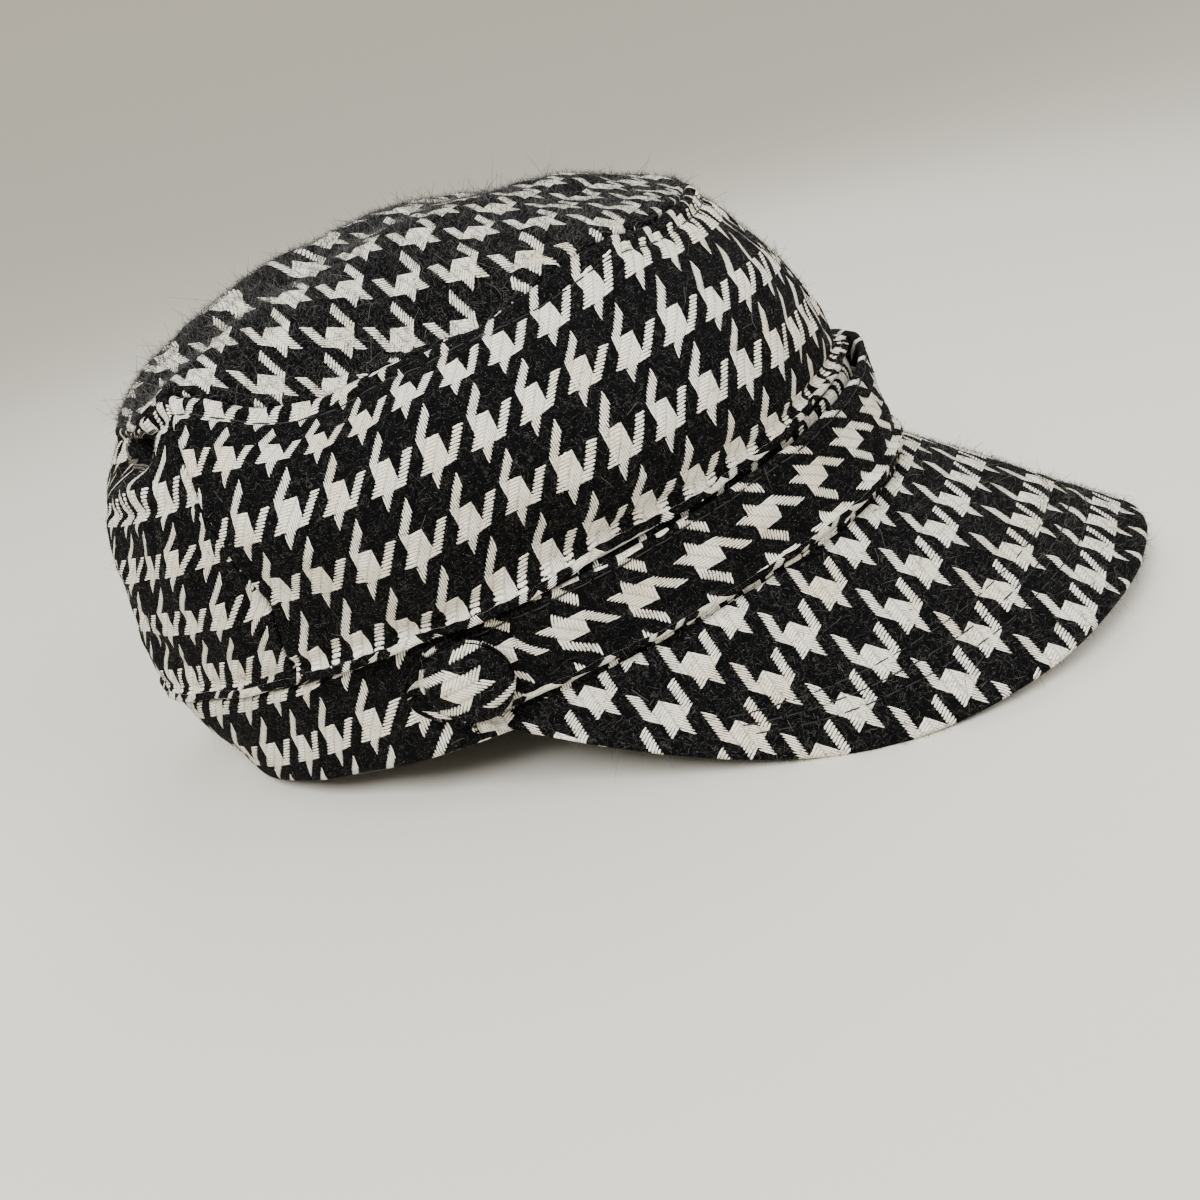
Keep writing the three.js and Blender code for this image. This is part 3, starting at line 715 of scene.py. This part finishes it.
strap_u = np.linspace(1, -1, 2001)
strap_along = length_along(strap_point(strap_u, 0 * strap_u, 1.1))
bend = STRAP_ROUND / 2 * strap_along[-1]
along_row = stations(strap_along[-1], 1.2, bend)
along_row = np.unique(np.concatenate([along_row, bend * (1 - np.cos(np.linspace(0, np.pi / 2, 22)))]))
along_row = np.unique(np.concatenate([along_row, strap_along[-1] - along_row]))
u_row = np.interp(along_row, strap_along, strap_u)
down_row = stations(STRAP_WIDTH, 1.0, 1.1)
down_row = np.sort(np.append(down_row, STRAP_WIDTH - STRAP_ROLL + np.array([-0.03, 0.03])))
down, u = np.meshgrid(down_row, u_row, indexing="ij")
w = 1 - 2 * down / STRAP_WIDTH
along = np.broadcast_to(along_row, u.shape)
foot = STRAP_WIDTH - down
ends = np.minimum(along, strap_along[-1] - along)
flat = np.clip(ends / 14, 0, 1)
strap_place = strap_point(u, w, np.zeros(u.shape))
pucker = np.sin(2 * np.pi * along / 4.3 + 1.6 * np.sin(along / 13))
puff = (bell(down, STRAP_ROW, 1.3, -0.35) + bell(down, 0.9, 1.0, 0.25) + flat * bell(foot, 2.0, 1.7, 1.3)
        + flat * bell(foot, 5.2, 1.4, -0.45) + flat * pucker * bell(foot, 2.0, 2.0, 0.2)
        + flat * strap_slack(strap_place))
to_button = np.hypot((np.abs(u) * STRAP_END - BUTTON_ANGLE) / 360 * band_along[-1], down - 12.2)
puff = puff + bell(to_button, BUTTON_RADIUS + 0.6, 1.6, -0.9)
share = rounded(np.minimum(down, foot), STRAP_WALL / 2) * rounded(ends, STRAP_WALL / 2)
# The roll fades out at the strap's ends.
weave = thread_numbers(along, down, STRAP_LAY, quarter=1)
weave = roll_weave(weave, along, foot + 4 * (flat < 0.4), STRAP_ROLL)
strap, strap_face = closed_mesh("front_strap_cloth", strap_point(u, w, STRAP_WALL + puff), strap_place,
                                share, weave)
strap.data.materials.append(wool)
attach(strap, "root")
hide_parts("front_strap")

# The buttons
# Two domed buttons covered in the same cloth, gathered under their rims and sewn through the
# strap's rounded ends.
BUTTON_LEVEL = 0.62               # how far up the headband
BUTTON_HEIGHT = 6.5
GATHERS = 26                      # small pleats round the rim of the cover
BUTTON_LAY = dict(across=(-11.57, -13.79), up=(-13.79, 11.57), corner=(5.0, 2.3), centre=(0, 0), reach=30,
                  ease_along=(0,) * 7, ease_down=(0,) * 7)
button_faces = []
for name, side in (("right", 1), ("left", -1)):
    turn = np.linspace(0, 2 * np.pi, 97)
    climb, spin = np.meshgrid(np.linspace(np.pi / 2, 0, 22), turn[:-1], indexing="ij")
    out = crown_normal(BUTTON_LEVEL, side * BUTTON_ANGLE)
    ahead = (crown_point(BUTTON_LEVEL, side * (BUTTON_ANGLE - 2))
             - crown_point(BUTTON_LEVEL, side * (BUTTON_ANGLE + 2)))
    ahead = ahead / np.linalg.norm(ahead)
    up = np.cross(ahead, out) * side
    up = up / np.linalg.norm(up)
    seat = pushed(BUTTON_LEVEL, side * BUTTON_ANGLE, 3 * SEAM_GAP + STRAP_WALL)
    right_way = ahead * side
    gather = 0.16 * np.cos(GATHERS * spin) * np.sin(2 * climb) ** 4 * (climb < np.pi / 4)
    radius = BUTTON_RADIUS * np.cos(climb) ** 0.8
    rise = BUTTON_HEIGHT * (0.46 + 0.6 * np.sin(climb) ** 1.3) + gather
    under = BUTTON_HEIGHT * 0.36 * (1 - np.sin(climb) ** 0.35)
    spread = (np.cos(spin)[..., None] * right_way + np.sin(spin)[..., None] * up) * radius[..., None]
    dome = seat + spread + rise[..., None] * out
    foot = seat + spread + under[..., None] * out
    flat = np.stack([radius * np.cos(spin), -radius * np.sin(spin)], -1)
    flat = flat * (1 + 0.16 * np.cos(climb)[..., None] ** 3)
    flat = np.concatenate([flat, flat[:, :1]], 1)
    piece, face = closed_mesh(f"button_{name}_cloth", dome, foot, np.ones(climb.shape),
                              thread_numbers(flat[..., 0], flat[..., 1], BUTTON_LAY), looped=True)
    button_faces.append(face)
    piece.data.materials.append(wool)
    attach(piece, "root")
    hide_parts(f"button_{name}")

# The topstitching
# Black sewing thread: a row below the top seam on the two side panels, one along the strap's upper
# edge and three along the peak. Each stitch is a short arch of thread that dips in at both ends.
# The thread is spun and a little waxy, which gives it a faint gleam on the dull cloth.
THREAD = 0.42                     # thickness of the thread
STITCH = 5.2                      # from one needle hole to the next
THREAD_BLACK = "#0B0B0C"

thread, tree = blank_material("spun_sewing_thread_black")
shader = add_node(tree, "BsdfPrincipled", {
    "Base Color": linear(THREAD_BLACK), "Roughness": 0.6, "Specular IOR Level": 0.4})
add_node(tree, "OutputMaterial", {"Surface": shader})


def stitches(points, normals):
    """Stitches along a line on the cloth: short tubes of five sides, bent over the cloth in an arch
    and ending below its face. Gives their points and triangles."""
    along = length_along(points)
    starts = np.arange(0.5, along[-1] - STITCH, STITCH)
    share = np.array([0.02, 0.14, 0.5, 0.86, 0.98])
    at = starts[:, None] + share * STITCH
    place = np.stack([np.interp(at, along, points[:, k]) for k in range(3)], -1)
    out = np.stack([np.interp(at, along, normals[:, k]) for k in range(3)], -1)
    out /= np.linalg.norm(out, axis=-1, keepdims=True)
    way = place[:, -1:] - place[:, :1]
    way = way / np.linalg.norm(way, axis=-1, keepdims=True)
    beside = np.cross(way, out)
    place = place + out * (np.array([-0.45, 0.0, 0.16, 0.0, -0.45])[:, None])
    spin = np.linspace(0, 2 * np.pi, 6)[:-1]
    ring = np.cos(spin)[:, None] * beside[:, :, None] + np.sin(spin)[:, None] * out[:, :, None]
    tube = place[:, :, None] + ring * THREAD / 2
    number = np.arange(tube[..., 0].size).reshape(tube.shape[:-1])
    after = np.roll(number, -1, axis=2)
    a, b, c, d = number[:, :-1], after[:, :-1], after[:, 1:], number[:, 1:]
    walls = np.stack([a, b, c, a, c, d], -1).reshape(-1, 3)
    ends = [np.stack([number[:, k, 0], number[:, k, i], number[:, k, j]], -1)
            for k, i, j in ((0, 2, 1), (0, 3, 2), (0, 4, 3), (-1, 1, 2), (-1, 2, 3), (-1, 3, 4))]
    return tube.reshape(-1, 3), np.concatenate([walls, *ends])


def joined(parts):
    """Several meshes' points and triangles as one."""
    start = np.cumsum([0] + [len(points) for points, _ in parts[:-1]])
    return (np.concatenate([points for points, _ in parts]),
            np.concatenate([triangles + first for (_, triangles), first in zip(parts, start)]))


rows = []
for side in (1, -1):
    along_row, down_row, angle_row, level_row = panel_places(side * REAR_SEAM, 0, SIDE_HEIGHT, 0.8, 0.95)
    level = np.full(angle_row.shape, np.interp(TOP_ROW, down_row, level_row))
    puff = side_puff(along_row, np.full(along_row.shape, TOP_ROW), level, angle_row)
    rows.append(stitches(pushed(level, angle_row, puff), crown_normal(level, angle_row)))
for row in PEAK_ROWS:
    u = np.linspace(-0.8, 0.8, 801)
    upper = peak_point(u, row)
    normal = (upper - peak_point(u, row, PEAK_WALL)) / PEAK_WALL
    dent = peak_slack(upper) - PEAK_DENT
    rows.append(stitches(upper + normal * dent[:, None], normal))
u = np.linspace(-0.93, 0.93, 801)
w = np.full(u.shape, 1 - 2 * STRAP_ROW / STRAP_WIDTH)
dent = strap_slack(strap_point(u, w, np.zeros(u.shape))) - 0.2
normal = crown_normal(np.full(u.shape, 0.9), u * STRAP_END)
rows.append(stitches(strap_point(u, w, STRAP_WALL + dent), normal))
points, triangles = joined(rows)
topstitching = plain_mesh("topstitching", laid_down(points) * MM, triangles)
topstitching.data.materials.append(thread)
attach(topstitching, "root")

# The nap of the wool
# Fine loose hairs of black and cream wool that stand off the brushed cloth everywhere and show as
# a soft grey halo round its outline.
HAIR_THICK = 0.12                 # drawn about twice as thick as a real wool hair, to show
FUZZ_LENGTH = 0.8, 2.3            # shortest and longest of the short straight hairs
LIGHT_HAIRS = 0.3                 # share of the hairs that are cream
FUZZ_PER_HAIR = 8                 # short straight hairs to each longer one
HAIR_LIGHT = "#66635D"
HAIR_DARK = "#1C1C1D"

nap, tree = blank_material("loose_wool_hair")
tone = add_node(tree, "VertexColor", {}, layer_name="tone")
tone = add_node(tree, "Mix", {0: tone, 6: linear(HAIR_DARK), 7: linear(HAIR_LIGHT)}, data_type="RGBA")
shader = add_node(tree, "BsdfPrincipled", {
    "Base Color": tone, "Roughness": 0.8, "Sheen Weight": 0.1})
add_node(tree, "OutputMaterial", {"Surface": shader})


def on_cloth(faces, count, rng):
    """Places spread evenly over the area of grids of points, the way the cloth faces there and a
    way along the cloth."""
    low = np.concatenate([f[:-1, :-1].reshape(-1, 3) for f in faces])
    over = np.concatenate([f[:-1, 1:].reshape(-1, 3) for f in faces])
    up = np.concatenate([f[1:, :-1].reshape(-1, 3) for f in faces])
    cross = np.cross(over - low, up - low)
    area = np.linalg.norm(cross, axis=-1)
    cell = rng.choice(len(low), count, p=area / area.sum())
    out = cross[cell] / area[cell][:, None]
    a, b = rng.uniform(size=(2, count, 1))
    root = low[cell] + a * (over - low)[cell] + b * (up - low)[cell]
    side_way = np.cross(out, rng.normal(size=(count, 3)))
    side_way /= np.linalg.norm(side_way, axis=-1, keepdims=True)
    return root, out, side_way


def three_round(way, out):
    """Three directions square to a hair's way, a third of a turn apart."""
    beside = np.cross(way, out)
    beside /= np.linalg.norm(beside, axis=-1, keepdims=True)
    third = np.cross(way, beside)
    spin = np.radians([0, 120, 240])[:, None]
    return np.cos(spin) * beside[:, None] + np.sin(spin) * third[:, None]


def fuzz(faces, count, seed):
    """Short straight hairs: each a thin three-sided cone that leans over."""
    rng = np.random.default_rng(seed)
    root, out, side_way = on_cloth(faces, count, rng)
    way = out * rng.uniform(0.2, 1.7, (count, 1)) + side_way
    way /= np.linalg.norm(way, axis=-1, keepdims=True)
    foot = root[:, None] + three_round(way, out) * HAIR_THICK / 2 * MM - out[:, None] * 0.1 * MM
    tip = root + way * rng.uniform(*FUZZ_LENGTH, (count, 1)) * MM
    cone = np.concatenate([foot, tip[:, None]], axis=1)
    cone[..., 2] = np.maximum(cone[..., 2], 0.02 * MM)
    triangles = 4 * np.arange(count)[:, None, None] + np.array([[0, 2, 1], [0, 1, 3], [1, 2, 3], [2, 0, 3]])
    tone = (rng.uniform(size=count) < LIGHT_HAIRS) * rng.uniform(0.4, 1, count)
    return cone.reshape(-1, 3), triangles.reshape(-1, 3), np.repeat(tone, 4)


def hairs(faces, count, longest, seed):
    """Longer loose hairs: each a thin three-sided tube on a line that leaves the cloth at a slant
    and curls over."""
    rng = np.random.default_rng(seed)
    root, out, side_way = on_cloth(faces, count, rng)
    length = (1.0 + 1.5 * rng.uniform(size=(count, 1)) + longest * rng.uniform(size=(count, 1)) ** 12) * MM
    slant = rng.uniform(0.2, 1.7, (count, 1))
    first = out * slant + side_way
    first /= np.linalg.norm(first, axis=-1, keepdims=True)
    curl = rng.normal(size=(count, 3)) * 0.75 - out * 0.2
    t = np.array([0, 0.45, 1])[None, :, None]
    line = root[:, None] + length[:, None] * (first[:, None] * t + curl[:, None] * t**2)
    line = line - out[:, None] * 0.15 * MM * (t == 0)
    taper = HAIR_THICK / 2 * MM * np.array([1, 0.9, 0.5])[None, :, None, None]
    tube = line[:, :, None] + three_round(first, out)[:, None] * taper
    tube[..., 2] = np.maximum(tube[..., 2], 0.02 * MM)
    number = np.arange(count * 9).reshape(count, 3, 3)
    after = np.roll(number, -1, axis=2)
    a, b, c, d = number[:, :-1], number[:, 1:], after[:, 1:], after[:, :-1]
    walls = np.stack([a, b, c, a, c, d], -1).reshape(-1, 3)
    ends = np.concatenate([number[:, 0, [0, 1, 2]], number[:, -1, [0, 2, 1]]])
    tone = (rng.uniform(size=count) < LIGHT_HAIRS) * rng.uniform(0.4, 1, count)
    return tube.reshape(-1, 3), np.concatenate([walls, ends]), np.repeat(tone, 9)


# name, the cloth that it is on, number of short hairs, length of the longest hair, seed
for name, faces, count, longest, seed in (
        ("nap_on_crown", side_faces + [back_face], 32000, 3.0, 81),
        ("nap_on_top", [top_face], 30000, 3.0, 82),
        ("nap_on_front", [band_face, strap_face, peak_face] + button_faces, 30000, 2.5, 83)):
    points, triangles, tone = hairs(faces, count // FUZZ_PER_HAIR, longest, seed)
    more_points, more_triangles, more_tone = fuzz(faces, count, seed + 10)
    triangles = np.concatenate([triangles, more_triangles + len(points)])
    points = np.concatenate([points, more_points])
    tone = np.concatenate([tone, more_tone])
    piece = plain_mesh(name, points, triangles)
    shade = np.repeat(tone[:, None], 4, axis=1)
    shade[:, 3] = 1
    piece.data.color_attributes.new("tone", "FLOAT_COLOR", "POINT").data.foreach_set("color", shade.ravel())
    piece.data.materials.append(nap)
    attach(piece, "root")

# The setting
# A pale floor under soft studio light, and a camera at the wearer's right, close and a little above.
EYE_AWAY = 320.0                  # from the middle of the cap to the camera
EYE_UP = 122.0                    # above the middle of the rim
EYE_DOWN = np.radians(23.0)       # how far the camera looks down, and how far the cap was tipped back
LENS_WIDTH = 1172 / 1200          # focal length as a share of the picture's width

# The floor is a wide sheet that sweeps up all round, far off, so that no edge of it is seen.
grid = np.linspace(-4, 4, 81)
x, y = np.meshgrid(grid, grid)
rise = 0.22 * np.maximum(np.hypot(x, y) - 1.2, 0) ** 2
number = np.arange(x.size).reshape(x.shape)
a, b, c, d = number[:-1, :-1], number[:-1, 1:], number[1:, 1:], number[1:, :-1]
floor = plain_mesh("floor", np.stack([x, y, rise], -1).reshape(-1, 3),
                   np.stack([a, b, c, a, c, d], -1).reshape(-1, 3))
# Pale matt paint, with no gleam.
floor_paint = bpy.data.materials.new("matt_paint_pale")
floor_paint.use_nodes = True
paint = floor_paint.node_tree.nodes["Principled BSDF"]
paint.inputs["Base Color"].default_value = linear("#DAD6CB")
paint.inputs["Roughness"].default_value = 0.9
floor.data.materials.append(floor_paint)

world = bpy.data.worlds.new("studio")
bpy.context.scene.world = world
world.use_nodes = True
world.node_tree.nodes["Background"].inputs["Color"].default_value = linear("#E9E6DE")
world.node_tree.nodes["Background"].inputs["Strength"].default_value = 0.9

# place in metres, turn in degrees, size in metres, power in watts
for name, place, turn, size, power in (
        ("key", (-0.35, -0.9, 1.1), (42, 0, -20), 0.7, 30),
        ("fill", (0.9, -0.5, 0.7), (50, 0, 60), 0.8, 9),
        ("back", (0.1, 0.9, 0.9), (-45, 0, 0), 0.9, 7)):
    lamp = bpy.data.lights.new(name, "AREA")
    lamp.size = size
    lamp.energy = power
    light_object = bpy.data.objects.new(name, lamp)
    light_object.location = place
    light_object.rotation_euler = np.radians(turn)
    bpy.context.scene.collection.objects.link(light_object)

tilt = EYE_DOWN - REST_PITCH
look = bpy.data.cameras.new("camera")
look.sensor_width = 36
look.lens = 36 * LENS_WIDTH
look.clip_start = 0.01
camera = bpy.data.objects.new("camera", look)
ct, st, cd, sd = np.cos(tilt), np.sin(tilt), np.cos(EYE_DOWN), np.sin(EYE_DOWN)
camera.matrix_world = Matrix((
    (ct, cd * st, sd * st, (EYE_UP * st + SHIFT) * MM),
    (0, sd, -cd, -EYE_AWAY * MM),
    (-st, cd * ct, sd * ct, (EYE_UP * ct + LIFT) * MM),
    (0, 0, 0, 1)))
bpy.context.scene.collection.objects.link(camera)
bpy.context.scene.camera = camera
